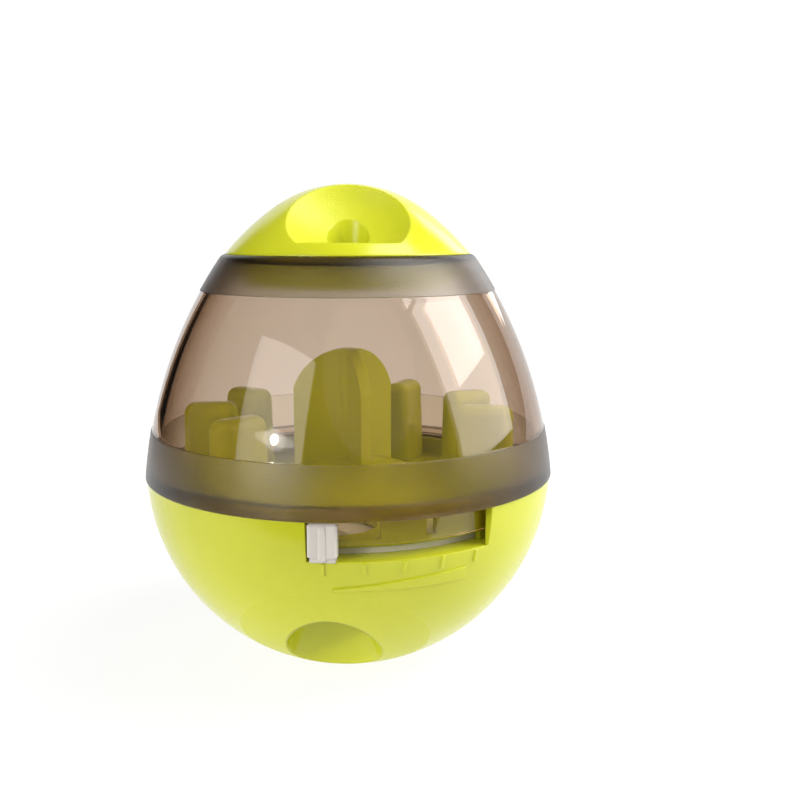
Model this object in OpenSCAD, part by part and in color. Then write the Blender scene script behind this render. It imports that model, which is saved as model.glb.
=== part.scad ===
// Treat ball: an egg that rights itself and drops treats through its bowl as it is rolled.
// The origin is at the middle of the flat spot that it stands on. The lever and the
// exit are at the front, on the -Y side, and the ball's axis is Z.

/* [Overall] */
// Height from the flat spot to the top of the cap
height = 117; // [115:0.5:121]
// Widest diameter, at the foot of the dome
width = 100; // [99:0.5:104]

/* [Bowl] */
// How far the seam between the bowl and the dome lies below a full half ball
seam_drop = 2.3; // [1.6:0.1:3]
// How far the dome's foot stands out past the bowl, on the radius
seam_lip = 0.4; // [0.2:0.1:0.7]
// Radius of the flat spot underneath
foot_r = 7.7; // [6:0.1:9]
// Thickness of the bowl's shell
bowl_wall = 2; // [1.8:0.1:2.3]
// Thickness of the shelf that carries the shutter's rim
shelf_t = 2; // [1.5:0.1:3]
// Thickness of the stiffening webs inside the bowl
web_t = 1.8; // [1.2:0.1:2.4]
// How far the webs stop below the shelf's top
web_drop = 3; // [2.2:0.1:6]

/* [Lever slot and marks] */
// Height of the slot below the seam
slot_h = 8.8; // [8.6:0.1:9.4]
// Turn of the lever, the drop hole and the exit from the front, in degrees
front_turn = -6.9; // [-12:0.1:0]
// Number of marks under the slot
mark_count = 5; // [3:1:6]
// Turn from one mark to the next, in degrees
mark_step = 10.2; // [8:0.1:10.6]
// Free turn past the lever at each end of the slot, in degrees
slot_play = 0.25; // [0.15:0.05:1]
// Length of a mark
mark_h = 2.7; // [2:0.1:3.2]
// Width of a mark
mark_w = 0.7; // [0.5:0.1:1.4]
// How far the marks and the wedge stand out
mark_proud = 0.35; // [0.2:0.05:0.5]
// Gap from the slot down to the marks
mark_drop = 0.35; // [0.2:0.05:1]
// Gap from the marks down to the wedge
wedge_drop = 0.8; // [0.3:0.1:1.2]
// Height of the wedge at its thick end
wedge_h = 3.1; // [1.6:0.1:3.2]
// Height of the wedge at its thin end
wedge_tip = 0.5; // [0.3:0.1:1.2]
// Turn that the wedge spans, in degrees
wedge_turn = 35.8; // [28:0.2:40]

/* [Exit] */
// Gap between the exit pipe and the bowl's shell at the shelf
exit_room = 3.9; // [3.5:0.1:4.4]
// Wall of the exit pipe
exit_wall = 1.4; // [1.2:0.1:1.6]
// How much wider the pipe's eye in the shelf is than the pipe
pipe_eye = 0.9; // [0.5:0.1:1.5]
// Angle of the dish round the exit below the level of the ball's middle, in degrees
dish_dip = 47; // [44:0.5:50]
// Half of the angle that the dish spans, in degrees
dish_span = 25.8; // [22:0.2:28]
// Depth of the dish at its middle
dish_depth = 1; // [0.6:0.1:1.3]

/* [Weight and well] */
// Outer radius of the well's wall, on which the shutter turns
well_r = 17.6; // [17:0.1:18]
// Gap between the well, on which the shutter turns, and the exit pipe
well_room = 1.7; // [1.5:0.1:2.3]
// Wall of the well
well_wall = 3.8; // [3.4:0.1:4.2]
// Height of the well's floor
well_floor = 4.2; // [3.8:0.1:6]
// Width of the ledge round the well under the shutter
well_ledge = 1.5; // [1:0.1:1.6]
// Radius of the post in the middle of the weight
post_r = 3.7; // [3.2:0.1:4.4]
// Height of the weight
weight_h = 19; // [14:0.5:22]
// Clearance round the weight
weight_gap = 0.3; // [0.2:0.05:0.6]
// Thickness of the plate on the weight
cover_t = 1.8; // [1.4:0.1:2.6]

/* [Shutter] */
// Thickness of the shutter
disc_t = 1.7; // [1.4:0.1:1.9]
// Clearance between the shutter's edge and the tray's rim
disc_room = 0.4; // [0.3:0.05:0.7]
// Free height above the shutter
disc_play = 0.3; // [0.2:0.05:0.4]
// Clearance round the shutter's two edges
disc_gap = 0.35; // [0.2:0.05:0.45]
// Radius of the hole's narrow end in the shutter
gate_small = 3.2; // [2.4:0.1:5]
// Width of the lever
lever_w = 6.2; // [5:0.1:7]
// Clearance above and below the lever's knob
lever_gap = 0.4; // [0.2:0.05:0.7]
// Length of the pointed tip below the knob
lever_tip = 0.9; // [0.4:0.1:1.4]
// How far the lever stands out past the bowl
lever_proud = 0.3; // [0:0.05:0.6]

/* [Tray] */
// Thickness of the tray's floor
tray_t = 1.9; // [1.6:0.1:2.4]
// Thickness of the tray's rim
tray_rim = 1.4; // [1.2:0.1:1.5]
// Clearance between the tray's rim and the dome's collar
tray_gap = 0.4; // [0.3:0.05:0.6]
// Clearance between the tray's rim and the dome's foot
rim_drop = 0.4; // [0.3:0.1:1]
// How much narrower the tray's drop hole is than the exit pipe, on the radius
drop_step = 1.2; // [0.9:0.1:2]
// Height of the mound's top above the tray's floor
mound_h = 7.7; // [6:0.1:9]
// Radius of the ball that the mound is cut from
mound_r = 38; // [34:0.5:44]
// Gap between the fin's top and the level of the dome's rim
fin_room = 23.2; // [22:0.1:28]
// Reach of each blade of the fin from the axis
fin_r = 14.1; // [11:0.1:15]
// Thickness of the fin's blades
fin_t = 2.6; // [2:0.1:3.4]
// Radius of the round top of the fin
fin_top_r = 15; // [15:0.1:18]
// Turn of the fin from the front, in degrees
fin_turn = 16; // [0:1:30]
// Radius in the corners between the blades
fin_corner = 4; // [2:0.1:5]
// Places for paddles round the tray
paddle_places = 9; // [8:1:9]
// Turn of the first paddle from the front, in degrees
paddle_turn = 73; // [71:1:75]
// Places left bare, counted from the first, over the drop hole and beside it
paddle_bare = 2; // [1:1:3]
// Length of a paddle
paddle_l = 14; // [10:0.5:15]
// Thickness of a paddle at its foot
paddle_t = 7.4; // [6:0.1:8]
// Gap between the paddles and the tray's rim
paddle_room = 2; // [1.2:0.1:3]
// How far the paddles stop below the fin's top
paddle_drop = 12.8; // [11:0.1:19]
// Radius of a paddle's edges
paddle_edge = 2.6; // [1.5:0.1:2.8]
// How much a paddle narrows on each side towards its top
paddle_draft = 0.4; // [0.1:0.05:0.6]
// Wall of the hollow paddle
paddle_wall = 1.8; // [1.4:0.1:2.2]
// Turn that the wide opening in the tray's rim spans, in degrees
rim_open = 30; // [24:1:36]
// Turn from the exit to the narrow opening in the rim, in degrees
notch_turn = 27.8; // [24:0.1:32]
// Turn that the narrow opening spans, in degrees
notch_span = 2.9; // [2:0.1:4]
// Free turn of the lever's arm at each end of its opening in the rim, in degrees
arm_play = 2; // [1:0.5:4]

/* [Dome] */
// Radius of the arc that the dome's side follows
side_r = 110; // [95:1:140]
// Outer radius of the dome's top rim
neck_r = 30.3; // [29.8:0.1:31.5]
// Thickness of the dome's wall
dome_wall = 2.4; // [1.8:0.1:2.8]
// Height of the lower frosted band
band_low_h = 11.6; // [7:0.1:15]
// Height of the upper frosted band
band_high_h = 8.5; // [5:0.1:12]
// How far the frosted bands stand out past the clear part
band_step = 0.2; // [0.1:0.05:0.4]
// Thickness of the dome's top rim
rim_t = 2.4; // [1.8:0.1:3]
// Width of the dome's top rim
rim_w = 3.7; // [3.4:0.1:4]
// Thickness of the ring at the dome's foot
foot_ring_t = 2.2; // [1.6:0.1:3]
// Height of the collar that goes into the bowl
collar_h = 5.9; // [4.6:0.1:6]
// Wall of the collar
collar_wall = 1.8; // [1.4:0.1:2]
// Clearance between the collar and the bowl
collar_gap = 1; // [0.7:0.05:1.2]
// Width of the ribs that centre the collar
rib_w = 3; // [2:0.1:5]
// Clearance between those ribs and the bowl
rib_gap = 0.1; // [0.05:0.05:0.25]

/* [Cap] */
// Height of the cap above the dome's rim
cap_h = 16.6; // [16:0.1:18]
// Radius of the cap's round top
cap_top_r = 31; // [29:0.5:33]
// Radius of the arc that the cap's flank follows
cap_side_r = 64; // [50:1:90]
// How far the cap's foot stays inside the dome's rim
cap_lip = 0.7; // [0.4:0.1:1]
// Wall of the cap
cap_wall = 2.2; // [1.8:0.1:2.6]
// Radius of a finger scoop's hollow
scoop_r = 21.2; // [20.6:0.1:21.6]
// How far the scoop's middle lies outside the finger hole's
scoop_out = 12.3; // [12:0.1:13]
// Height of the scoop's middle above the cap's top
scoop_lift = 4; // [3.8:0.1:5]
// Height of the scoop's flat floor above the dome's rim
scoop_floor = 2.8; // [2.4:0.1:3.2]
// Radius of a finger hole
hole_r = 4.8; // [4:0.1:5]
// Gap between a finger hole's wall and the skirt
hole_room = 2.7; // [2.3:0.1:3.1]
// Depth of a finger hole below the scoop's floor
hole_depth = 8.4; // [6:0.1:9]
// Depth of the skirt below the dome's rim
skirt_h = 8; // [7:0.1:9]
// Wall of the skirt
skirt_wall = 2; // [1.8:0.1:2.4]
// Clearance between the skirt and the dome's rim
skirt_gap = 0.9; // [0.8:0.05:1]
// Radius of the seal ring's section
seal_r = 0.8; // [0.75:0.05:0.95]
// Clearance between the seal ring and the dome's rim
seal_gap = 0.05; // [0.02:0.01:0.1]

/* [Screws] */
// Radius of the weight screw's shank
big_screw_r = 1.4; // [1.2:0.05:1.6]
// Radius of the weight screw's head
big_head_r = 3; // [2.6:0.1:3.4]
// Height of the weight screw's head
big_head_h = 1.9; // [1.5:0.1:2.4]
// Length of the weight screw's shank
big_screw_l = 12; // [9:0.5:14]
// Number of screws that hold the tray
small_screws = 3; // [3:1:4]
// Turn of the tray's screws from the fin's blades, in degrees
small_turn = 26; // [22:1:60]
// Radius of a tray screw's shank
small_screw_r = 0.95; // [0.8:0.05:1.05]
// Radius of a tray screw's head
small_head_r = 2; // [1.7:0.05:2.2]
// Height of a tray screw's head
small_head_h = 1.4; // [1.1:0.1:1.8]
// Length of a tray screw's shank
small_screw_l = 10; // [7:0.5:13]
// Clearance round the screws
screw_gap = 0.1; // [0.05:0.01:0.15]
// Clearance round a tray screw's head
head_gap = 0.5; // [0.3:0.05:0.6]

/* [Hidden] */
lime = "#d2dc3c";
smoke = [0.62, 0.55, 0.48, 0.55];
white = "#dcd8cf";
steel = "#9a9da0";
grey = "#6f7276";

round_fn = 180;
small_fn = 60;
edge_fn = 24;
over = 1;
// Arcs that run on from each other cross by this much, so that they meet cleanly.
arc_cross = 0.02;
gate_nip = 0.3;

// The bowl is cut from a ball whose middle lies just under the dome's foot.
bowl_r = width / 2 - seam_lip;
bowl_z = sqrt(pow(bowl_r, 2) - pow(foot_r, 2));
bore_r = bowl_r - bowl_wall;

// The dome stands between the seam and the cap.
seam_z = bowl_r - seam_drop;
neck_z = height - cap_h;
band_low_z = seam_z + band_low_h;
band_high_z = neck_z - band_high_h;

// The tray fits inside the dome's collar.
collar_r = bore_r - collar_gap;
collar_in = collar_r - collar_wall;
collar_z = seam_z - collar_h;
tray_r = collar_in - tray_gap;
rim_in = tray_r - tray_rim;

// Levels of the parts stacked in the seam, from the shelf up.
ledge_z = seam_z - slot_h;
disc_top = ledge_z + disc_t;
plate_z = disc_top + disc_play;
floor_z = plate_z + tray_t;
disc_r = rim_in - disc_room;
shelf_in = disc_r - disc_gap - 1;

// The exit pipe fills the room between the well and the bowl's shell. The drop hole and the
// wide end of the shutter's hole are a little narrower than its bore.
exit_r = (bore_r - exit_room - well_room - well_r) / 2 - exit_wall;
exit_at = bore_r - exit_room - exit_wall - exit_r;
drop_r = exit_r - drop_step;
gate_big = drop_r;

// The well, its weight and the plate on it.
well_in = well_r - well_wall;
weight_r = well_in - weight_gap;
weight_top = well_floor + weight_h;
screw_at = (well_r + well_in) / 2;
disc_in = well_r + disc_gap;

// The lever and its slot, as turns from the front.
lever_in = bore_r - collar_gap + lever_gap;
lever_out = bowl_r + lever_proud;
lever_half = atan(lever_w / 2 / lever_in);
knob_low = ledge_z + lever_gap;
knob_high = seam_z - lever_gap;
travel = (mark_count - 1) * mark_step;
slot_half = lever_half + slot_play;
slot_start = front_turn - slot_half;
slot_sweep = travel + 2 * slot_half;
mark_top = ledge_z - mark_drop;
wedge_top = mark_top - mark_h - wedge_drop;
wedge_low = wedge_top - wedge_h;
wedge_half = sqrt(pow(bowl_r, 2) - pow(bowl_z - wedge_top, 2)) * sin(wedge_turn / 2);

// The dish is the part of the bowl that a larger ball cuts away.
dish_rim_r = bowl_r * sin(dish_span);
dish_rise = bowl_r * (1 - cos(dish_span)) - dish_depth;
dish_r = (pow(dish_rim_r, 2) + pow(dish_rise, 2)) / (2 * dish_rise);
dish_back = dish_r - dish_rise - bowl_r * cos(dish_span);

// The mound, the fin and the paddles on the tray's floor.
mound_z = floor_z + mound_h - mound_r;
mound_in = screw_at - small_head_r - head_gap - 1;
fin_z = neck_z - fin_room;
fin_h = fin_z - floor_z;
paddle_at = rim_in - paddle_room - paddle_l / 2;
paddle_h = fin_h - paddle_drop;

// The dome's side is an arc through its foot and its neck.
dome_r = width / 2;
chord = [neck_r - dome_r, neck_z - seam_z];
chord_l = norm(chord);
chord_mid = [(neck_r + dome_r) / 2, (neck_z + seam_z) / 2];
arc_h = sqrt(pow(side_r, 2) - pow(chord_l / 2, 2));
arc_c = [chord_mid[0] - arc_h * chord[1] / chord_l, chord_mid[1] + arc_h * chord[0] / chord_l];

// The cap's skirt and seal fit the bore of the dome's rim, and its finger holes the skirt.
neck_bore = neck_r - rim_w;
skirt_r = neck_bore - skirt_gap;
seal_at = neck_bore - seal_gap - seal_r;
seal_z = neck_z - rim_t / 2;
hole_at = skirt_r - skirt_wall - hole_room - cap_wall - hole_r;
scoop_at = hole_at + scoop_out;

// The cap's top is part of a ball, and its flank is an arc that runs on from it.
cap_z = height - cap_top_r;
cap_foot = [neck_r - cap_lip, neck_z - cap_z];
cap_swing = cap_side_r - cap_top_r;
cap_meet = (pow(cap_side_r, 2) - pow(cap_swing, 2) - pow(norm(cap_foot), 2)) / (2 * cap_swing);
cap_turn = atan2(cap_foot[0], cap_foot[1]) - acos(cap_meet / norm(cap_foot));
scoop_z = neck_z + scoop_floor;

// A ring of rectangular section between two radii and two levels.
module ring(r_in, r_out, z_low, z_high) {
    translate([0, 0, z_low]) difference() {
        cylinder(r = r_out, h = z_high - z_low, $fn = round_fn);
        translate([0, 0, -over]) cylinder(r = r_in, h = z_high - z_low + 2 * over, $fn = round_fn);
    }
}

// A piece of such a ring that starts at one turn from the front and sweeps through another.
module arc_ring(r_in, r_out, z_low, z_high, start, sweep) {
    rotate([0, 0, start - 90]) rotate_extrude(angle = sweep, $fn = round_fn)
        translate([r_in, z_low]) square([r_out - r_in, z_high - z_low]);
}

// Places its children at a turn from the front and a distance from the axis.
module at_turn(turn, distance) {
    rotate([0, 0, turn]) translate([0, -distance, 0]) children();
}

// The bowl's outer form: a ball cut at its foot and seam, and eased by the dish.
module bowl_outside() {
    intersection() {
        translate([0, 0, bowl_z]) sphere(r = bowl_r, $fn = round_fn);
        translate([0, 0, bowl_z]) rotate([0, 0, front_turn]) rotate([-dish_dip, 0, 0])
            translate([0, dish_back, 0]) sphere(r = dish_r, $fn = round_fn);
        cylinder(r = width, h = seam_z, $fn = round_fn);
    }
}

// The space inside the bowl's shell, with a straight bore above the shelf.
module bowl_inside() {
    intersection() {
        translate([0, 0, bowl_z]) sphere(r = bore_r, $fn = round_fn);
        cylinder(r = width, h = ledge_z, $fn = round_fn);
    }
    translate([0, 0, ledge_z]) cylinder(r = bore_r, h = seam_z - ledge_z + over, $fn = round_fn);
}

// The plate that the shutter rides on: a shelf round the shell and eyes round the pipe and the well.
module shelf() {
    translate([0, 0, ledge_z - shelf_t]) linear_extrude(height = shelf_t) difference() {
        union() {
            difference() {
                circle(r = bore_r + over, $fn = round_fn);
                circle(r = shelf_in, $fn = round_fn);
            }
            at_turn(front_turn, exit_at) circle(r = exit_r + exit_wall + pipe_eye, $fn = round_fn);
            circle(r = well_r + well_ledge, $fn = round_fn);
        }
        circle(r = (well_r + well_in) / 2, $fn = round_fn);
    }
}

// What stands inside the bowl: the shelf, the pipe's wall, the well, its post and the webs.
module bowl_fittings() {
    shelf();
    ring(well_in, well_r, 0, plate_z);
    cylinder(r = well_in + over, h = well_floor, $fn = round_fn);
    cylinder(r = post_r, h = weight_top, $fn = small_fn);
    at_turn(front_turn, exit_at) cylinder(r = exit_r + exit_wall, h = ledge_z - shelf_t / 2, $fn = round_fn);
    for (turn = [90, 180, 270])
        rotate([0, 0, front_turn + turn]) translate([-web_t / 2, -bore_r, 0])
            cube([web_t, bore_r - well_in - over, ledge_z - web_drop]);
}

// Marks of the lever's settings, and the wedge that shows which way the hole opens.
module bowl_marks() {
    intersection() {
        translate([0, 0, bowl_z]) sphere(r = bowl_r + mark_proud, $fn = round_fn);
        union() {
            for (i = [0 : mark_count - 1])
                rotate([0, 0, front_turn + i * mark_step])
                    translate([-mark_w / 2, -bowl_r - over, mark_top - mark_h])
                        cube([mark_w, bowl_wall + over, mark_h]);
            rotate([0, 0, front_turn + travel / 2]) translate([0, -bowl_r / 2, 0])
                rotate([90, 0, 0]) linear_extrude(height = bowl_r)
                    polygon([
                        [-wedge_half, wedge_low],
                        [wedge_half, wedge_low],
                        [wedge_half, wedge_top],
                        [0, (wedge_low + wedge_tip + wedge_top) / 2 + 0.2],
                        [-wedge_half, wedge_low + wedge_tip],
                    ]);
        }
    }
}

module bowl() {
    color(lime) difference() {
        union() {
            bowl_outside();
            bowl_marks();
        }
        difference() {
            bowl_inside();
            bowl_fittings();
        }
        arc_ring(bore_r - over, bowl_r + 2 * over, ledge_z, seam_z + over, slot_start, slot_sweep);
        at_turn(front_turn, exit_at) translate([0, 0, -over])
            cylinder(r = exit_r, h = ledge_z + 2 * over, $fn = round_fn);
        translate([0, 0, weight_top - big_screw_l]) cylinder(
            r = big_screw_r + screw_gap, h = big_screw_l + over, $fn = small_fn);
        for (i = [0 : small_screws - 1])
            at_turn(fin_turn + small_turn + i * 360 / small_screws, screw_at)
                translate([0, 0, floor_z - small_screw_l - over])
                    cylinder(r = small_screw_r + screw_gap, h = small_screw_l + over, $fn = small_fn);
    }
}

// A cast ring that sits over the post at the bottom of the well.
module counterweight() {
    color(steel) ring(post_r + weight_gap, weight_r, well_floor, weight_top);
}

module weight_cover() {
    color(grey) ring(big_screw_r + screw_gap, weight_r, weight_top, weight_top + cover_t);
}

// A pan-headed screw with a cross recess, its head resting at z = 0.
module screw(shank_r, shank_l, head_r, head_h) {
    translate([0, 0, -shank_l]) cylinder(r = shank_r, h = shank_l + head_h / 2, $fn = small_fn);
    difference() {
        intersection() {
            cylinder(r = head_r, h = head_h, $fn = small_fn);
            translate([0, 0, head_h - head_r * 1.6]) sphere(r = head_r * 1.6, $fn = small_fn);
        }
        for (turn = [0, 90]) rotate([0, 0, turn])
            translate([-head_r * 0.6, -head_r * 0.12, head_h * 0.5])
                cube([head_r * 1.2, head_r * 0.24, head_h]);
    }
}

module weight_cover_screw() {
    color(steel) translate([0, 0, weight_top + cover_t])
        screw(big_screw_r, big_screw_l - over, big_head_r, big_head_h);
}

// The hole in the shutter: a round end, narrowing along an arc to a small round end. The part
// between is a little narrower than the ends, so that it meets them at an angle.
module gate_hole() {
    steps = 8;
    function gate_w(i) = gate_small + (gate_big - gate_small) * i / steps;
    function gate_point(i, side) = let (turn = -90 + front_turn - travel * i / steps)
        (exit_at + side * (gate_w(i) - gate_nip)) * [cos(turn), sin(turn)];
    polygon([
        for (i = [0 : steps]) gate_point(i, 1),
        for (i = [steps : -1 : 0]) gate_point(i, -1),
    ]);
    rotate(front_turn) translate([0, -exit_at]) circle(r = gate_small, $fn = small_fn);
    rotate(front_turn - travel) translate([0, -exit_at]) circle(r = gate_big, $fn = small_fn);
}

// The lever's knob seen from above: a thumb rib between two shallow facets.
module knob_outline() {
    half = lever_w / 2;
    polygon([
        [-half, -lever_in], [half, -lever_in],
        [half, -lever_out + 0.8], [half - 0.5, -lever_out + 0.35],
        [0.8, -lever_out + 0.55], [0.4, -lever_out], [-0.4, -lever_out], [-0.8, -lever_out + 0.55],
        [-half + 0.5, -lever_out + 0.35], [-half, -lever_out + 0.8],
    ]);
}

module shutter() {
    color(white) {
        translate([0, 0, ledge_z]) linear_extrude(height = disc_t) difference() {
            circle(r = disc_r, $fn = round_fn);
            circle(r = disc_in, $fn = round_fn);
            gate_hole();
        }
        rotate([0, 0, front_turn]) {
            translate([-lever_w / 2 + 0.4, -lever_out + 1, ledge_z])
                cube([lever_w - 0.8, lever_out - disc_r + 1, disc_t]);
            intersection() {
                translate([0, 0, knob_low]) linear_extrude(height = knob_high - knob_low) knob_outline();
                knob_side();
                knob_front();
            }
        }
    }
}

// The knob seen from its side, with its top and foot bevelled.
module knob_side() {
    translate([-lever_w, 0, 0]) rotate([90, 0, 90]) linear_extrude(height = 2 * lever_w)
        polygon([
            [-lever_in + over, knob_low], [-lever_in + over, knob_high],
            [-lever_out + 1, knob_high], [-lever_out, knob_high - 0.9],
            [-lever_out, knob_low + 0.6], [-lever_out + 0.5, knob_low],
        ]);
}

// The knob seen from the front: its foot comes to a blunt tip that points at the marks.
module knob_front() {
    half = lever_w / 2;
    translate([0, -lever_in + over, 0]) rotate([90, 0, 0]) linear_extrude(height = lever_out)
        polygon([
            [-half, knob_high - 0.5], [-half, knob_low + lever_tip], [-half * 0.4, knob_low + lever_tip * 0.7],
            [-half * 0.15, knob_low], [half * 0.15, knob_low], [half * 0.4, knob_low + lever_tip * 0.7],
            [half, knob_low + lever_tip], [half, knob_high - 0.5], [half - 0.5, knob_high],
            [-half + 0.5, knob_high],
        ]);
}

// One hollow paddle: a block with round edges that narrows towards its top.
module paddle_block() {
    lx = paddle_t / 2 - paddle_edge;
    ly = paddle_l / 2 - paddle_edge;
    hull() for (x = [-lx, lx], y = [-ly, ly]) {
        translate([x, y, floor_z - over]) cylinder(r = paddle_edge, h = over, $fn = edge_fn);
        translate([x - sign(x) * paddle_draft, y - sign(y) * paddle_draft, floor_z + paddle_h - paddle_edge])
            sphere(r = paddle_edge, $fn = edge_fn);
    }
}

module paddle_hollow() {
    x = paddle_t - 2 * paddle_wall - 2 * paddle_draft;
    y = paddle_l - 2 * paddle_wall - 2 * paddle_draft;
    translate([-x / 2, -y / 2, plate_z - over]) cube([x, y, tray_t + paddle_h - paddle_wall + over]);
}

// Places its children where each paddle stands.
module each_paddle() {
    for (i = [0 : paddle_places - 1 - paddle_bare])
        at_turn(paddle_turn + i * 360 / paddle_places, paddle_at) children();
}

// The fin seen from above: three blades with round corners between them.
module fin_outline() {
    away = (fin_corner + fin_t / 2) / sin(60);
    for (i = [0 : 2]) rotate(fin_turn + i * 120) {
        translate([-fin_t / 2, -fin_r]) square([fin_t, fin_r]);
        difference() {
            rotate(60) polygon([
                [0, 0],
                away * [sin(60), -cos(60)] * cos(60) + 0.2 * [-1, 0],
                [0, -away],
                away * [-sin(60), -cos(60)] * cos(60) + 0.2 * [1, 0],
            ]);
            rotate(60) translate([0, -away]) circle(r = fin_corner, $fn = small_fn);
        }
    }
}

module fin() {
    intersection() {
        translate([0, 0, floor_z]) linear_extrude(height = fin_h) fin_outline();
        translate([0, 0, fin_z - fin_top_r]) union() {
            sphere(r = fin_top_r, $fn = round_fn);
            translate([0, 0, -fin_h]) cylinder(r = fin_top_r + over, h = fin_h, $fn = round_fn);
        }
    }
}

// An opening through the tray's rim, from its floor up.
module rim_cut(start, sweep) {
    arc_ring(rim_in - over / 2, tray_r + over, floor_z, seam_z, start, sweep);
}

module tray() {
    color(lime) difference() {
        union() {
            translate([0, 0, plate_z]) cylinder(r = tray_r, h = tray_t, $fn = round_fn);
            intersection() {
                translate([0, 0, mound_z]) sphere(r = mound_r, $fn = round_fn);
                translate([0, 0, plate_z + tray_t / 2]) cylinder(r = rim_in, h = mound_h + tray_t, $fn = round_fn);
            }
            fin();
            each_paddle() paddle_block();
            ring(rim_in, tray_r, ledge_z, seam_z - rim_drop);
        }
        // Hollows under the mound and in the paddles.
        intersection() {
            translate([0, 0, mound_z]) sphere(r = mound_r - tray_t, $fn = round_fn);
            translate([0, 0, plate_z - over]) cylinder(r = mound_in, h = mound_h + tray_t, $fn = round_fn);
        }
        each_paddle() paddle_hollow();
        at_turn(front_turn, exit_at) translate([0, 0, plate_z - over])
            cylinder(r = drop_r, h = tray_t + 2 * over, $fn = round_fn);
        // Room under the floor for the lever's arm, and the openings in the rim.
        arc_ring(
            rim_in - over, tray_r + over, ledge_z - over, plate_z,
            slot_start - arm_play, slot_sweep + 2 * arm_play);
        rim_cut(front_turn - rim_open / 2, rim_open);
        rim_cut(front_turn + notch_turn, notch_span);
        for (i = [0 : small_screws - 1])
            at_turn(fin_turn + small_turn + i * 360 / small_screws, screw_at) {
                translate([0, 0, plate_z - over])
                    cylinder(r = small_screw_r + screw_gap, h = tray_t + 2 * over, $fn = small_fn);
                translate([0, 0, floor_z]) cylinder(r = small_head_r + head_gap, h = mound_h, $fn = small_fn);
            }
    }
}

module tray_screws() {
    color(steel) for (i = [0 : small_screws - 1])
        at_turn(fin_turn + small_turn + i * 360 / small_screws, screw_at)
            translate([0, 0, floor_z]) screw(small_screw_r, small_screw_l, small_head_r, small_head_h);
}

// The dome's half section: bands, clear wall, rim, foot ring and collar.
module dome_section() {
    band_out = dome_r + over;
    difference() {
        union() {
            intersection() {
                translate(arc_c) circle(r = side_r, $fn = 4 * round_fn);
                union() {
                    translate([0, seam_z]) square([band_out, band_low_z - seam_z]);
                    translate([0, band_high_z]) square([band_out, neck_z - band_high_z]);
                }
            }
            intersection() {
                translate(arc_c) circle(r = side_r - band_step, $fn = 4 * round_fn);
                translate([0, band_low_z - over]) square([band_out, band_high_z - band_low_z + 2 * over]);
            }
        }
        intersection() {
            translate(arc_c) circle(r = side_r - dome_wall, $fn = 4 * round_fn);
            translate([0, seam_z + foot_ring_t])
                square([band_out, neck_z - rim_t - seam_z - foot_ring_t]);
        }
        translate([0, seam_z - over]) square([collar_in, foot_ring_t + 2 * over]);
        translate([0, neck_z - rim_t - over]) square([neck_bore, rim_t + 2 * over]);
    }
    translate([collar_in, collar_z]) square([collar_wall, collar_h + over / 2]);
}

module dome() {
    color(smoke) {
        rotate_extrude($fn = round_fn) dome_section();
        for (i = [0 : 2])
            rotate([0, 0, front_turn + travel / 2 + 90 + i * 90])
                translate([-rib_w / 2, -bore_r + rib_gap, collar_z + over])
                    cube([rib_w, collar_gap - rib_gap + collar_wall / 2, collar_h - over]);
    }
}

// The cap's solid form above a level, with its surface moved in by inset.
module cap_form(inset, from_z) {
    meet_z = cap_z + (cap_top_r - inset) * cos(cap_turn);
    rotate_extrude($fn = round_fn) {
        intersection() {
            translate([0, cap_z]) circle(r = cap_top_r - inset, $fn = 4 * round_fn);
            translate([0, from_z]) square([height, height]);
        }
        intersection() {
            translate([-cap_swing * sin(cap_turn) - arc_cross, cap_z - cap_swing * cos(cap_turn)])
                circle(r = cap_side_r - inset, $fn = 4 * round_fn);
            translate([0, from_z]) square([height, meet_z - from_z]);
        }
    }
}

// A scoop's hollow with its flat floor; with grow it gives the wall round the hollow.
module scoop(grow) {
    intersection() {
        translate([0, -scoop_at, height + scoop_lift]) sphere(r = scoop_r + grow, $fn = round_fn);
        translate([0, 0, scoop_z - grow]) cylinder(r = height, h = height, $fn = round_fn);
    }
    translate([0, -hole_at, scoop_z - hole_depth - grow])
        cylinder(r = hole_r + grow, h = hole_depth + hole_r * 1.6, $fn = small_fn);
}

module cap() {
    inner_z = neck_z + cap_wall;
    color(lime) {
        difference() {
            union() {
                cap_form(0, neck_z);
                ring(skirt_r - skirt_wall, skirt_r, neck_z - skirt_h, neck_z + over);
            }
            difference() {
                union() {
                    cap_form(cap_wall, inner_z);
                    translate([0, 0, neck_z - over])
                        cylinder(r = skirt_r - skirt_wall, h = inner_z - neck_z + 2 * over, $fn = round_fn);
                }
                scoop(cap_wall);
                rotate([0, 0, 180]) scoop(cap_wall);
            }
            scoop(0);
            rotate([0, 0, 180]) scoop(0);
            translate([0, 0, seal_z]) rotate_extrude($fn = round_fn)
                translate([seal_at, 0]) circle(r = seal_r + seal_gap, $fn = small_fn);
        }
        // The closed foot of each finger pocket reaches down into the skirt.
        for (turn = [0, 180]) rotate([0, 0, turn]) difference() {
            translate([0, -hole_at, scoop_z - hole_depth - cap_wall])
                cylinder(r = hole_r + cap_wall, h = hole_depth, $fn = small_fn);
            translate([0, -hole_at, scoop_z - hole_depth])
                cylinder(r = hole_r, h = hole_depth + over, $fn = small_fn);
        }
    }
}

module cap_seal() {
    color(grey) translate([0, 0, seal_z]) rotate_extrude($fn = round_fn)
        translate([seal_at, 0]) circle(r = seal_r, $fn = small_fn);
}

bowl();
counterweight();
weight_cover();
weight_cover_screw();
shutter();
tray();
tray_screws();
dome();
cap();
cap_seal();
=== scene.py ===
import math

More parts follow.
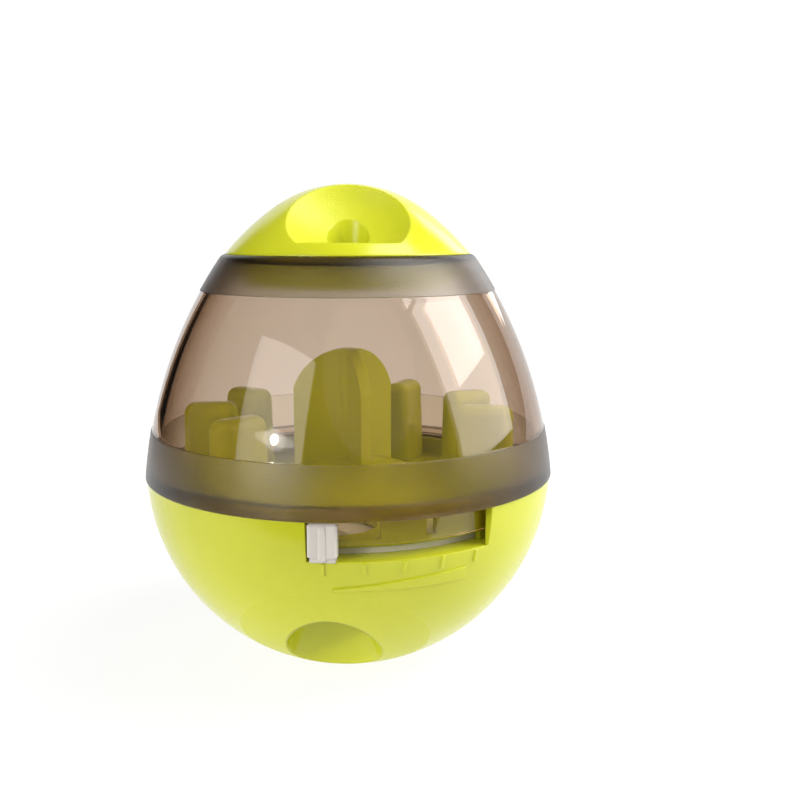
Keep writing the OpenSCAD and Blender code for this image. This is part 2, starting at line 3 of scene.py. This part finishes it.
import bmesh
import bpy
from mathutils import Euler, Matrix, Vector


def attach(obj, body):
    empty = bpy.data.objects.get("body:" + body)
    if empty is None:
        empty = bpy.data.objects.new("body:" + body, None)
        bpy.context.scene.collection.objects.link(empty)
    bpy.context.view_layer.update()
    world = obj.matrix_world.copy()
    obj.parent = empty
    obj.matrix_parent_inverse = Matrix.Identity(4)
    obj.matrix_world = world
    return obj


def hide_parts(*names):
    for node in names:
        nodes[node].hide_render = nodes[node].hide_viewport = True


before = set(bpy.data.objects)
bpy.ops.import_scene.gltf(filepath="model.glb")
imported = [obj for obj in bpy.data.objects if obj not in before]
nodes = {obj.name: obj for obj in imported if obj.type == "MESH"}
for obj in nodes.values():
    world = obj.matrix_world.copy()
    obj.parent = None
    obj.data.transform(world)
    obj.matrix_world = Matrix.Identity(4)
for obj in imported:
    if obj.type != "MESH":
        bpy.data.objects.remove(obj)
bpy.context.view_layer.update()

# The lower half is one thick moulding in glossy lime plastic. Only a round patch about the
# treat exit has a fine spark-eroded grain, cut into the mould.

BOWL_BALL_R = 0.0496
BOWL_FOOT_R = 0.0077
BOWL_BALL_Z = math.sqrt(BOWL_BALL_R**2 - BOWL_FOOT_R**2)
BOWL_EDGE_R = 0.0003
BOWL_PAINTED_SHADE = 0.95
LEVER_TURN = math.radians(-6.9)
PATCH_DIP = math.radians(47)
PATCH_SPAN = math.radians(25.8)
PATCH_DEPTH = 0.001
EXIT_AT = 0.0315
EXIT_Z = 0.008
EXIT_LIP_REACH = 0.019
EXIT_LIP_R = 0.0011
LIME_DEEP = (0.645, 0.668, 0.022)
LIME_PALE = (0.69, 0.712, 0.028)
LIME_PATCHES = 0.02
LIME_ROUGH = (0.17, 0.23, 0.006)
ORANGE_PEEL = (0.004, 0.00001)
SPARK_GRAIN = (0.00045, 0.0001)
SPARK_GRAIN_ROUGHER = 0.22
SKIN_DEPTH = 0.003
PLASTIC_IOR = 1.5


def shader(name):
    """A new material with its Principled shader."""
    material = bpy.data.materials.new(name)
    material.use_nodes = True
    return material, material.node_tree, material.node_tree.nodes["Principled BSDF"]


def node(tree, kind, **settings):
    """A new node with its settings, and its inputs by place, as values or as other outputs."""
    made = tree.nodes.new(kind)
    for key, value in settings.items():
        if not key.startswith("in"):
            setattr(made, key, value)
        elif isinstance(value, bpy.types.NodeSocket):
            tree.links.new(value, made.inputs[int(key[2:])])
        else:
            made.inputs[int(key[2:])].default_value = value
    return made


def place(tree):
    """Where a point of the surface is, in metres from the foot of the ball's axis."""
    return node(tree, "ShaderNodeTexCoord").outputs["Object"]


def away_from(tree, middle):
    """How far a point of the surface is from the given one."""
    away = node(tree, "ShaderNodeVectorMath", operation="DISTANCE", in0=place(tree), in1=middle)
    return away.outputs["Value"]


def result_of(tree, operation, *values):
    """What one sum or comparison of some numbers gives."""
    inputs = {f"in{i}": value for i, value in enumerate(values)}
    return node(tree, "ShaderNodeMath", operation=operation, **inputs).outputs[0]


def past_ball(tree, middle, radius):
    """1 outside a ball, and 0 inside it."""
    return result_of(tree, "GREATER_THAN", away_from(tree, middle), radius)


def grain(tree, size, height, mask=None, under=None):
    """Bump with grains of one size, everywhere or where the mask says."""
    spots = node(tree, "ShaderNodeTexNoise", in0=place(tree), in2=1 / size, in3=2.0, in4=0.6)
    bump = node(tree, "ShaderNodeBump")
    bump.inputs["Distance"].default_value = height
    tree.links.new(spots.outputs["Fac"], bump.inputs["Height"])
    if mask is not None:
        tree.links.new(mask, bump.inputs["Strength"])
    if under is not None:
        tree.links.new(under, bump.inputs["Normal"])
    return bump.outputs["Normal"]


def between(tree, share, low_in, high_in, low, high):
    """Carries a number from one range over to another."""
    spread = node(
        tree, "ShaderNodeMapRange", in0=share, in1=low_in, in2=high_in, in3=low, in4=high
    )
    return spread.outputs[0]


def varied(tree, low, high, size):
    """A roughness between two values, in patches of one size."""
    patches = node(tree, "ShaderNodeTexNoise", in0=place(tree), in2=1 / size, in3=2.0, in4=0.55)
    return between(tree, patches.outputs["Fac"], 0.3, 0.7, low, high)


def soft_edges(tree, radius, lip=None):
    """The small round on each edge, and a larger one near a lip (middle, reach, radius)."""
    edge = node(tree, "ShaderNodeBevel", samples=6, in0=radius)
    if lip is not None:
        middle, reach, lip_radius = lip
        away = away_from(tree, middle)
        wider = between(tree, away, reach * 0.85, reach, lip_radius, radius)
        tree.links.new(wider, edge.inputs[0])
    return edge.outputs["Normal"]


def lime_plastic(name, edge_r, grained=(), lip=None, painted_shade=1.0, gloss=0.5):
    """Glossy lime plastic, with grain on or past the given balls (which, middle, radius), and a
    painted shade that darkens its red and green.
    """
    material, tree, plastic = shader(name)
    tint = node(
        tree, "ShaderNodeTexNoise", in0=place(tree), in2=1 / LIME_PATCHES, in3=3.0, in4=0.5
    )
    colours = node(tree, "ShaderNodeValToRGB", in0=tint.outputs["Fac"])
    stops = colours.color_ramp.elements
    for stop, position, lime in zip(stops, (0.3, 0.7), (LIME_DEEP, LIME_PALE)):
        stop.position = position
        stop.color = (lime[0] * painted_shade, lime[1] * painted_shade, lime[2], 1)
    tree.links.new(colours.outputs["Color"], plastic.inputs["Base Color"])
    plastic.inputs["IOR"].default_value = PLASTIC_IOR
    plastic.inputs["Specular IOR Level"].default_value = gloss
    plastic.inputs["Subsurface Weight"].default_value = 0.25
    plastic.inputs["Subsurface Radius"].default_value = (1.0, 1.0, 0.25)
    plastic.inputs["Subsurface Scale"].default_value = SKIN_DEPTH
    normal = grain(tree, *ORANGE_PEEL, under=soft_edges(tree, edge_r, lip))
    rough = varied(tree, *LIME_ROUGH)
    for which, middle, radius in grained:
        mask = which(tree, middle, radius)
        normal = grain(tree, *SPARK_GRAIN, mask=mask, under=normal)
        rough = result_of(tree, "MULTIPLY_ADD", mask, SPARK_GRAIN_ROUGHER, rough)
    tree.links.new(rough, plastic.inputs["Roughness"])
    tree.links.new(normal, plastic.inputs["Normal"])
    return material


def finish_node(name, material):
    """Gives a node of the frame its finish."""
    for slot in nodes[name].material_slots:
        slot.material = material


# The patch is where the bowl's ball stands out of a larger one, as if a shallow dish were cut.
patch_rim_r = BOWL_BALL_R * math.sin(PATCH_SPAN)
patch_rise = BOWL_BALL_R * (1 - math.cos(PATCH_SPAN)) - PATCH_DEPTH
patch_r = (patch_rim_r**2 + patch_rise**2) / (2 * patch_rise)
patch_back = patch_r - patch_rise - BOWL_BALL_R * math.cos(PATCH_SPAN)
patch_middle = Vector((0, patch_back, 0))
patch_middle.rotate(Euler((PATCH_DIP, 0, 0)))
patch_middle.rotate(Euler((0, 0, LEVER_TURN)))
patch_middle.z += BOWL_BALL_Z
exit_middle = Vector((0, -EXIT_AT, EXIT_Z))
exit_middle.rotate(Euler((0, 0, LEVER_TURN)))
exit_lip = (exit_middle, EXIT_LIP_REACH, EXIT_LIP_R)
patch_grain = [(past_ball, patch_middle, patch_r)]
# The bowl's lime is a little darker in red and green than the cap's, as painted shade.
finish_node("bowl", lime_plastic("bowl_lime", BOWL_EDGE_R, patch_grain, exit_lip, BOWL_PAINTED_SHADE))

# An iron casting keeps the ball upright. It sits in the bowl's well under a grey plate,
# held by one screw.

IRON_GREY = (0.42, 0.42, 0.43)
IRON_SKIN = (0.0012, 0.00008)
STEEL_GREY = (0.62, 0.62, 0.64)
STEEL_SKIN = (0.0004, 0.000006)
METAL_EDGE_R = 0.0002
COVER_GREY = (0.22, 0.22, 0.23)
SATIN_GRAIN = (0.0003, 0.000012)
SATIN_EDGE_R = 0.00035


def cast_metal(name, colour, rough, skin):
    """Metal with the skin of its casting or rolling (size of its lumps, their height)."""
    material, tree, metal = shader(name)
    metal.inputs["Base Color"].default_value = (*colour, 1)
    metal.inputs["Metallic"].default_value = 1.0
    worn = varied(tree, rough - 0.08, rough + 0.1, skin[0] * 3)
    tree.links.new(worn, metal.inputs["Roughness"])
    normal = grain(tree, *skin, under=soft_edges(tree, METAL_EDGE_R))
    tree.links.new(normal, metal.inputs["Normal"])
    return material


def matt_plastic(name, colour, rough):
    """Plain moulded plastic with a faint satin grain."""
    material, tree, plastic = shader(name)
    plastic.inputs["Base Color"].default_value = (*colour, 1)
    plastic.inputs["IOR"].default_value = PLASTIC_IOR
    worn = varied(tree, rough - 0.04, rough + 0.04, 0.004)
    tree.links.new(worn, plastic.inputs["Roughness"])
    normal = grain(tree, *SATIN_GRAIN, under=soft_edges(tree, SATIN_EDGE_R))
    tree.links.new(normal, plastic.inputs["Normal"])
    return material


bright_steel = cast_metal("screw_steel", STEEL_GREY, rough=0.28, skin=STEEL_SKIN)
finish_node("counterweight", cast_metal("cast_iron", IRON_GREY, rough=0.5, skin=IRON_SKIN))
finish_node("weight_cover", matt_plastic("cover_grey", COVER_GREY, rough=0.5))
finish_node("weight_cover_screw", bright_steel)

# The disc and its lever are one moulding in warm white plastic. The disc lies on the bowl's
# shelf and turns round the well.

WARM_WHITE = (0.75, 0.695, 0.63)

finish_node("shutter", matt_plastic("warm_white", WARM_WHITE, rough=0.36))

# The tray, its fin and its hollow paddles are one moulding in the bowl's lime, held on the
# well by three small screws.

TRAY_EDGE_R = 0.0005
TRAY_PAINTED_SHADE = 0.86
TRAY_GLOSS = 0.15

# The tray's lime is darker in red and green than the bowl's, as painted shade.
tray_lime = lime_plastic("tray_lime", TRAY_EDGE_R, painted_shade=TRAY_PAINTED_SHADE, gloss=TRAY_GLOSS)
finish_node("tray", tray_lime)
finish_node("tray_screws", bright_steel)

# The dome is one shell of smoke-tinted clear plastic, turned in form, so its half section is
# swept round the axis. The outside of its foot and neck bands is frosted in the mould.

DOME_R = 0.05
SEAM_Z = 0.0473
NECK_R = 0.0303
NECK_Z = 0.1004
SIDE_R = 0.11
DOME_WALL = 0.0024
BAND_LOW_Z = 0.0589
BAND_HIGH_Z = 0.0919
BAND_STEP = 0.0002
RIM_T = 0.0024
NECK_BORE = 0.0266
FOOT_RING_T = 0.0022
COLLAR_IN = 0.0448
COLLAR_R = 0.0466
COLLAR_Z = 0.0414
SHELL_BORE = 0.0476
SEAM_ROUND = 0.0002
FINE_ROUND = 0.0003
MOULD_ROUND = 0.0004
RING_ROUND = 0.0005
RIM_ROUND = 0.0011
BAND_EDGE_ROUND = 0.00012
BAND_FOOT_ROUND = 0.00005
ROUND_STEPS = 5
RIB_W = 0.003
RIB_H = 0.0048
RIB_UP = 0.0034
RIB_GAP = 0.0001
RIB_ROOT = 0.0004
SLOT_MIDDLE_TURN = 13.5
RIB_TURNS = [SLOT_MIDDLE_TURN + turn for turn in (90, 180, 270)]
STEPS_ROUND = 256
PAINTED_EDGE_SHADE = (0.70, 0.55, 0.42)
EDGE_SHADE_FROM = 0.4
EDGE_SHADE_FULL = 0.78
FOOT_FROST = (0.84, 0.81, 0.64)
NECK_FROST = (0.58, 0.60, 0.58)
FROST_PAINTED_EDGE_SHADE = (0.34, 0.35, 0.42)
FROST_GRAIN = (0.0003, 0.00007)
CLEAR_ROUGH = 0.015
FROST_ROUGH = 0.3
SMOKE = (0.5, 0.292, 0.075)
SMOKE_DENSITY = 272.0

chord = Vector((NECK_R - DOME_R, NECK_Z - SEAM_Z))
arc_h = math.sqrt(SIDE_R**2 - (chord.length / 2) ** 2)
arc_middle = Vector((NECK_R + DOME_R, NECK_Z + SEAM_Z)) / 2 + (
    Vector((-chord.y, chord.x)) * arc_h / chord.length
)


def side_point(z, inset=0.0):
    """The point of the dome's side at a level, or of a side that lies deeper in the wall."""
    radius = SIDE_R - inset
    return Vector((arc_middle.x + math.sqrt(radius**2 - (z - arc_middle.y) ** 2), z))


def side_run(z_from, z_to, inset, steps, clear):
    """Points along the side between two levels, clear of the rounds at its ends."""
    low = z_from + math.copysign(clear[0], z_to - z_from)
    high = z_to - math.copysign(clear[1], z_to - z_from)
    return [(side_point(low + (high - low) * i / steps, inset), 0.0) for i in range(steps + 1)]


def rounded(corners):
    """A closed outline with each corner rounded by its own radius."""
    outline = []
    for i, (corner, radius) in enumerate(corners):
        if radius == 0:
            outline.append(corner)
            continue
        before = (corners[i - 1][0] - corner).normalized() * radius
        after = (corners[(i + 1) % len(corners)][0] - corner).normalized() * radius
        for j in range(ROUND_STEPS + 1):
            t = j / ROUND_STEPS
            outline.append(corner + before * (1 - t) ** 2 + after * t**2)
    return outline


band_low = side_point(BAND_LOW_Z)
band_high = side_point(BAND_HIGH_Z)
sunk_low = side_point(BAND_LOW_Z, BAND_STEP)
sunk_high = side_point(BAND_HIGH_Z, BAND_STEP)
rim_z = NECK_Z - RIM_T
ring_z = SEAM_Z + FOOT_RING_T
dome_outline = rounded(
    [(side_point(SEAM_Z), FINE_ROUND)]
    + side_run(SEAM_Z, BAND_LOW_Z, inset=0, steps=8, clear=(0.0008, 0.0004))
    + [(band_low, BAND_EDGE_ROUND), (sunk_low, BAND_FOOT_ROUND)]
    + side_run(BAND_LOW_Z, BAND_HIGH_Z, inset=BAND_STEP, steps=30, clear=(0.0004, 0.0004))
    + [(sunk_high, BAND_FOOT_ROUND), (band_high, BAND_EDGE_ROUND)]
    + side_run(BAND_HIGH_Z, NECK_Z, inset=0, steps=6, clear=(0.0004, 0.0016))
    + [(side_point(NECK_Z), RIM_ROUND)]
    + [(Vector((NECK_BORE, NECK_Z)), MOULD_ROUND), (Vector((NECK_BORE, rim_z)), FINE_ROUND)]
    + [(side_point(rim_z, DOME_WALL), MOULD_ROUND)]
    + side_run(rim_z, ring_z, inset=DOME_WALL, steps=36, clear=(0.0012, 0.0012))
    + [(side_point(ring_z, DOME_WALL), RING_ROUND)]
    + [(Vector((COLLAR_IN, ring_z)), MOULD_ROUND), (Vector((COLLAR_IN, COLLAR_Z)), FINE_ROUND)]
    + [(Vector((COLLAR_R, COLLAR_Z)), MOULD_ROUND), (Vector((COLLAR_R, SEAM_Z)), SEAM_ROUND)]
)


def lathe_tree(name):
    """Nodes that sweep a half section round the axis."""
    tree = bpy.data.node_groups.new(name, "GeometryNodeTree")
    face = tree.interface
    face.new_socket("Geometry", in_out="INPUT", socket_type="NodeSocketGeometry")
    face.new_socket("Steps round", in_out="INPUT", socket_type="NodeSocketInt")
    face.new_socket("Sweep radius", in_out="INPUT", socket_type="NodeSocketFloat")
    face.new_socket("Finish", in_out="INPUT", socket_type="NodeSocketMaterial")
    face.new_socket("Geometry", in_out="OUTPUT", socket_type="NodeSocketGeometry")
    given = node(tree, "NodeGroupInput").outputs
    section = node(tree, "GeometryNodeMeshToCurve")
    tree.links.new(given["Geometry"], section.inputs["Mesh"])
    back = result_of(tree, "MULTIPLY", given["Sweep radius"], -1.0)
    shift = node(tree, "ShaderNodeCombineXYZ", in0=back)
    moved = node(tree, "GeometryNodeTransform")
    tree.links.new(section.outputs["Curve"], moved.inputs["Geometry"])
    tree.links.new(shift.outputs[0], moved.inputs["Translation"])
    path = node(tree, "GeometryNodeCurvePrimitiveCircle")
    tree.links.new(given["Steps round"], path.inputs["Resolution"])
    tree.links.new(given["Sweep radius"], path.inputs["Radius"])
    swept = node(tree, "GeometryNodeCurveToMesh")
    tree.links.new(path.outputs["Curve"], swept.inputs["Curve"])
    tree.links.new(moved.outputs["Geometry"], swept.inputs["Profile Curve"])
    real = node(tree, "GeometryNodeRealizeInstances", in0=swept.outputs["Mesh"])
    finish = node(tree, "GeometryNodeSetMaterial", in0=real.outputs[0])
    tree.links.new(given["Finish"], finish.inputs["Material"])
    result = node(tree, "NodeGroupOutput")
    tree.links.new(finish.outputs["Geometry"], result.inputs["Geometry"])
    return tree


def set_input(modifier, name, value):
    """Sets a named input of a modifier's node tree."""
    for item in modifier.node_group.interface.items_tree:
        if item.name == name and item.in_out == "INPUT":
            modifier[item.identifier] = value


def plain_mesh(piece, name):
    """The piece's evaluated result as a plain mesh object of its own."""
    seen = piece.evaluated_get(bpy.context.evaluated_depsgraph_get())
    mesh = bpy.data.meshes.new_from_object(seen)
    mesh.name = name
    bpy.data.objects.remove(piece)
    made = bpy.data.objects.new(name, mesh)
    bpy.context.scene.collection.objects.link(made)
    return made


def outward(mesh):
    """Merges doubles, turns the faces outwards and shades them smooth."""
    work = bmesh.new()
    work.from_mesh(mesh)
    bmesh.ops.remove_doubles(work, verts=work.verts, dist=1e-7)
    bmesh.ops.recalc_face_normals(work, faces=work.faces)
    for face in work.faces:
        face.smooth = True
    work.to_mesh(mesh)
    work.free()


def turned(name, outline, steps_round, finish):
    """A closed turned form from its half section (radius, level)."""
    mesh = bpy.data.meshes.new(name + "_section")
    count = len(outline)
    mesh.from_pydata(
        [(p.x, -p.y, 0) for p in outline],  # the sweep turns the section over
        [(i, (i + 1) % count) for i in range(count)],
        [],
    )
    section = bpy.data.objects.new(name + "_section", mesh)
    bpy.context.scene.collection.objects.link(section)
    sweep = section.modifiers.new("sweep", "NODES")
    sweep.node_group = bpy.data.node_groups.get("turned_form") or lathe_tree("turned_form")
    set_input(sweep, "Steps round", steps_round)
    set_input(sweep, "Sweep radius", sum(p.x for p in outline) / count)
    set_input(sweep, "Finish", finish)
    made = plain_mesh(section, name)
    outward(made.data)
    return made


def blend(tree, share, first, second, blend_type="MIX"):
    """A colour between two others, each a colour or another node's output."""
    mixed = node(tree, "ShaderNodeMix", data_type="RGBA", blend_type=blend_type, in0=share)
    for colour, socket in zip((first, second), mixed.inputs[6:8]):
        if isinstance(colour, tuple):
            socket.default_value = (*colour, 1)
        else:
            tree.links.new(colour, socket)
    return mixed.outputs[2]


def smoky_clear(name):
    """Smoke-tinted clear plastic that darkens with thickness, frosted on the bands, with painted
    shade where it is seen edge-on.
    """
    material, tree, clear = shader(name)
    clear.inputs["Base Color"].default_value = (1, 1, 1, 1)
    clear.inputs["Transmission Weight"].default_value = 1.0
    clear.inputs["IOR"].default_value = PLASTIC_IOR
    level = node(tree, "ShaderNodeSeparateXYZ", in0=place(tree)).outputs["Z"]
    flat = node(tree, "ShaderNodeVectorMath", operation="MULTIPLY", in0=place(tree), in1=(1, 1, 0))
    radius = node(tree, "ShaderNodeVectorMath", operation="LENGTH", in0=flat.outputs[0])
    section = node(tree, "ShaderNodeCombineXYZ", in0=radius.outputs["Value"], in1=level)
    from_arc = node(tree, "ShaderNodeVectorMath", operation="DISTANCE", in0=section.outputs[0])
    from_arc.inputs[1].default_value = (arc_middle.x, arc_middle.y, 0)
    outer = result_of(tree, "GREATER_THAN", from_arc.outputs["Value"], SIDE_R - DOME_WALL / 2)
    low = result_of(tree, "LESS_THAN", level, BAND_LOW_Z)
    high = result_of(tree, "GREATER_THAN", level, BAND_HIGH_Z)
    frosted = result_of(tree, "MULTIPLY", result_of(tree, "MAXIMUM", low, high), outer)
    # Painted shade: where the shell is seen edge-on its colour turns darker and browner, and the
    # frost's darker still.
    facing = node(tree, "ShaderNodeLayerWeight", in0=0.5).outputs["Facing"]
    edge_shade_share = between(tree, facing, EDGE_SHADE_FROM, EDGE_SHADE_FULL, 0.0, 1.0)
    side = blend(tree, edge_shade_share, (1, 1, 1), PAINTED_EDGE_SHADE)
    frost = blend(tree, high, FOOT_FROST, NECK_FROST)
    frost_with_painted_shade = blend(tree, edge_shade_share, frost, FROST_PAINTED_EDGE_SHADE, "MULTIPLY")
    tree.links.new(blend(tree, frosted, side, frost_with_painted_shade), clear.inputs["Base Color"])
    rough = between(tree, frosted, 0.0, 1.0, CLEAR_ROUGH, FROST_ROUGH)
    tree.links.new(rough, clear.inputs["Roughness"])
    normal = grain(tree, *FROST_GRAIN, mask=frosted)
    tree.links.new(normal, clear.inputs["Normal"])
    smoke = node(tree, "ShaderNodeVolumeAbsorption", in0=(*SMOKE, 1), in1=SMOKE_DENSITY)
    tree.links.new(smoke.outputs["Volume"], tree.nodes["Material Output"].inputs["Volume"])
    return material


dome = turned("dome_shell", dome_outline, STEPS_ROUND, smoky_clear("smoke_clear"))
ribs = bmesh.new()
ribs.from_mesh(dome.data)
rib_in = COLLAR_R - RIB_ROOT
rib_depth = SHELL_BORE - RIB_GAP - rib_in
rib_middle = (0, -rib_in - rib_depth / 2, COLLAR_Z + RIB_UP)
for turn in RIB_TURNS:
    block = bmesh.ops.create_cube(ribs, size=1)["verts"]
    bmesh.ops.scale(ribs, verts=block, vec=(RIB_W, rib_depth, RIB_H))
    bmesh.ops.translate(ribs, verts=block, vec=rib_middle)
    about = Euler((0, 0, math.radians(turn))).to_matrix()
    bmesh.ops.rotate(ribs, verts=block, cent=(0, 0, 0), matrix=about)
    edges = list({edge for vert in block for edge in vert.link_edges})
    bmesh.ops.bevel(
        ribs, geom=edges, offset=FINE_ROUND, segments=3, profile=0.5, affect="EDGES"
    )
ribs.to_mesh(dome.data)
ribs.free()
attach(dome, "dome")
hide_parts("dome")

# The cap is lime like the bowl, with a grained scoop and finger hole at the front and the
# same at the back. A soft ring on its skirt holds it in the dome's neck.

SCOOP_R = 0.0212
SCOOP_AT = 0.0263
SCOOP_Z = 0.121
SCOOP_SLACK = 0.00006
CAP_EDGE_R = 0.0008
SEAL_BLACK = (0.09, 0.09, 0.09)


def on_ball(tree, middle, radius):
    """1 on the surface of a ball, and 0 off it."""
    return result_of(tree, "COMPARE", away_from(tree, middle), radius, SCOOP_SLACK)


scoops = [(on_ball, Vector((0, side * SCOOP_AT, SCOOP_Z)), SCOOP_R) for side in (-1, 1)]
finish_node("cap", lime_plastic("cap_lime", CAP_EDGE_R, scoops))
finish_node("cap_seal", matt_plastic("seal_rubber", SEAL_BLACK, rough=0.55))

# A paper sweep in a dark room, lit by large softboxes on the right and above, a smaller one
# with a bright middle on the left, a strip behind and a dim fill in front. A black board
# darkens the dome's left edge. The camera stands where the photograph was taken from.

AIM = Vector((0, 0, 0.075))
BULB_AT = (-41, 11.6)


def seen_from_ball(azimuth, height, distance):
    """The spot at an angle to the right of the front and above the floor, seen from the dome."""
    turn, rise = math.radians(azimuth), math.radians(height)
    return AIM + distance * Vector(
        (math.sin(turn) * math.cos(rise), -math.cos(turn) * math.cos(rise), math.sin(rise))
    )


def softbox(name, size, glow, azimuth, height, distance, shape="RECTANGLE"):
    """A soft light that faces the ball, by its glow for each square metre of its rectangle."""
    light = bpy.data.lights.new(name, "AREA")
    light.shape = shape
    light.size, light.size_y = size
    light.energy = glow * math.pi * size[0] * size[1]
    lamp = bpy.data.objects.new(name, light)
    lamp.location = seen_from_ball(azimuth, height, distance)
    away = AIM - lamp.location
    lamp.rotation_euler = away.to_track_quat("-Z", "Y").to_euler()
    bpy.context.scene.collection.objects.link(lamp)
    return lamp


softbox("right_softbox", (0.40, 0.42), 3.8, 83, 25, 0.5)
softbox("right_softbox_middle", (0.24, 0.20), 5.0, 84, 32, 0.48)
softbox("left_softbox", (0.34, 0.38), 2.5, -44, 16, 0.5)
softbox("left_softbox_bulb", (0.034, 0.022), 120.0, *BULB_AT, 0.48, "ELLIPSE")
softbox("left_softbox_glow", (0.10, 0.05), 2.4, *BULB_AT, 0.484, "ELLIPSE")
softbox("left_softbox_streak", (0.20, 0.03), 2.0, *BULB_AT, 0.488, "ELLIPSE")
softbox("top_softbox", (0.34, 0.30), 5.2, 74, 62, 0.6)
rear = softbox("rear_strip", (0.16, 0.50), 2.6, 145, 24, 0.9)
rear.visible_camera = False
front = softbox("front_fill", (0.60, 0.56), 0.9, 14, 34, 0.6, "ELLIPSE")
front.visible_glossy = False


def board(name, corners, finish):
    """A flat board or a bent sheet of the studio, from its rows of two corners."""
    mesh = bpy.data.meshes.new(name)
    rows = range(0, len(corners) - 2, 2)
    mesh.from_pydata(corners, [], [(i, i + 1, i + 3, i + 2) for i in rows])
    for face in mesh.polygons:
        face.use_smooth = True
    mesh.materials.append(finish)
    made = bpy.data.objects.new(name, mesh)
    bpy.context.scene.collection.objects.link(made)
    return made


SWEEP_LEFT = -1.5
SWEEP_RIGHT = 2.1
SWEEP_FRONT = -0.11
SWEEP_BACK = 1.0
SWEEP_BEND = 0.8
SWEEP_TOP = 1.6
SWEEP_STEPS = 24
PAPER_GREY = (0.16, 0.16, 0.16)
DIM_WITHIN = 0.07
BRIGHT_FROM = 0.2
DIM_GLOW = 0.88
BRIGHT_GLOW = 1.0

sweep_line = [(SWEEP_FRONT, 0.0)]
for step in range(SWEEP_STEPS + 1):
    angle = math.radians(90 * step / SWEEP_STEPS)
    bend_y = SWEEP_BACK + SWEEP_BEND * math.sin(angle)
    sweep_line.append((bend_y, SWEEP_BEND * (1 - math.cos(angle))))
sweep_line.append((SWEEP_BACK + SWEEP_BEND, SWEEP_TOP))
paper, paper_tree, paper_shader = shader("white_paper")
paper_shader.inputs["Base Color"].default_value = (*PAPER_GREY, 1)
paper_shader.inputs["Roughness"].default_value = 0.9
paper_shader.inputs["Specular IOR Level"].default_value = 0.0
paper_shader.inputs["Emission Color"].default_value = (1, 1, 1, 1)
# The paper glows as painted light, dimmer near the ball and full further out, which fills in the
# ball's shadow on it.
from_ball = away_from(paper_tree, (0, 0, 0))
paper_glow = between(
    paper_tree, from_ball, DIM_WITHIN, BRIGHT_FROM, DIM_GLOW, BRIGHT_GLOW
)
paper_tree.links.new(paper_glow, paper_shader.inputs["Emission Strength"])
board("backdrop", [(x, y, z) for y, z in sweep_line for x in (SWEEP_LEFT, SWEEP_RIGHT)], paper)

black, _, black_shader = shader("black_felt")
black_shader.inputs["Base Color"].default_value = (0.01, 0.01, 0.01, 1)
black_shader.inputs["Roughness"].default_value = 1.0
black_shader.inputs["Specular IOR Level"].default_value = 0.0
flag = board(
    "left_board",
    [seen_from_ball(turn, rise, 0.6) for turn in (-146, -126, -106) for rise in (-6, 45)],
    black,
)
flag.visible_camera = False

ROOM_GLOW = 0.04
CAMERA_BACK = 0.24673
CAMERA_UP = 0.10582
LOOK_DOWN = 9.57
LOOK_RIGHT = 2.92

world = bpy.data.worlds.new("studio_room")
world.use_nodes = True
room = world.node_tree
rays = node(room, "ShaderNodeLightPath").outputs
behind = result_of(room, "MAXIMUM", rays["Is Camera Ray"], rays["Is Transmission Ray"])
glow = between(room, behind, 0.0, 1.0, ROOM_GLOW, 1.0)
room.nodes["Background"].inputs["Color"].default_value = (1, 1, 1, 1)
room.links.new(glow, room.nodes["Background"].inputs["Strength"])
bpy.context.scene.world = world

lens = bpy.data.cameras.new("camera")
lens.lens = 45.15
lens.sensor_width = 36
lens.clip_start = 0.01
camera = bpy.data.objects.new("camera", lens)
camera.location = (0, -CAMERA_BACK, CAMERA_UP)
camera.rotation_euler = (math.radians(90 - LOOK_DOWN), 0, math.radians(-LOOK_RIGHT))
bpy.context.scene.collection.objects.link(camera)
bpy.context.scene.camera = camera
bpy.context.scene.view_settings.view_transform = "Standard"
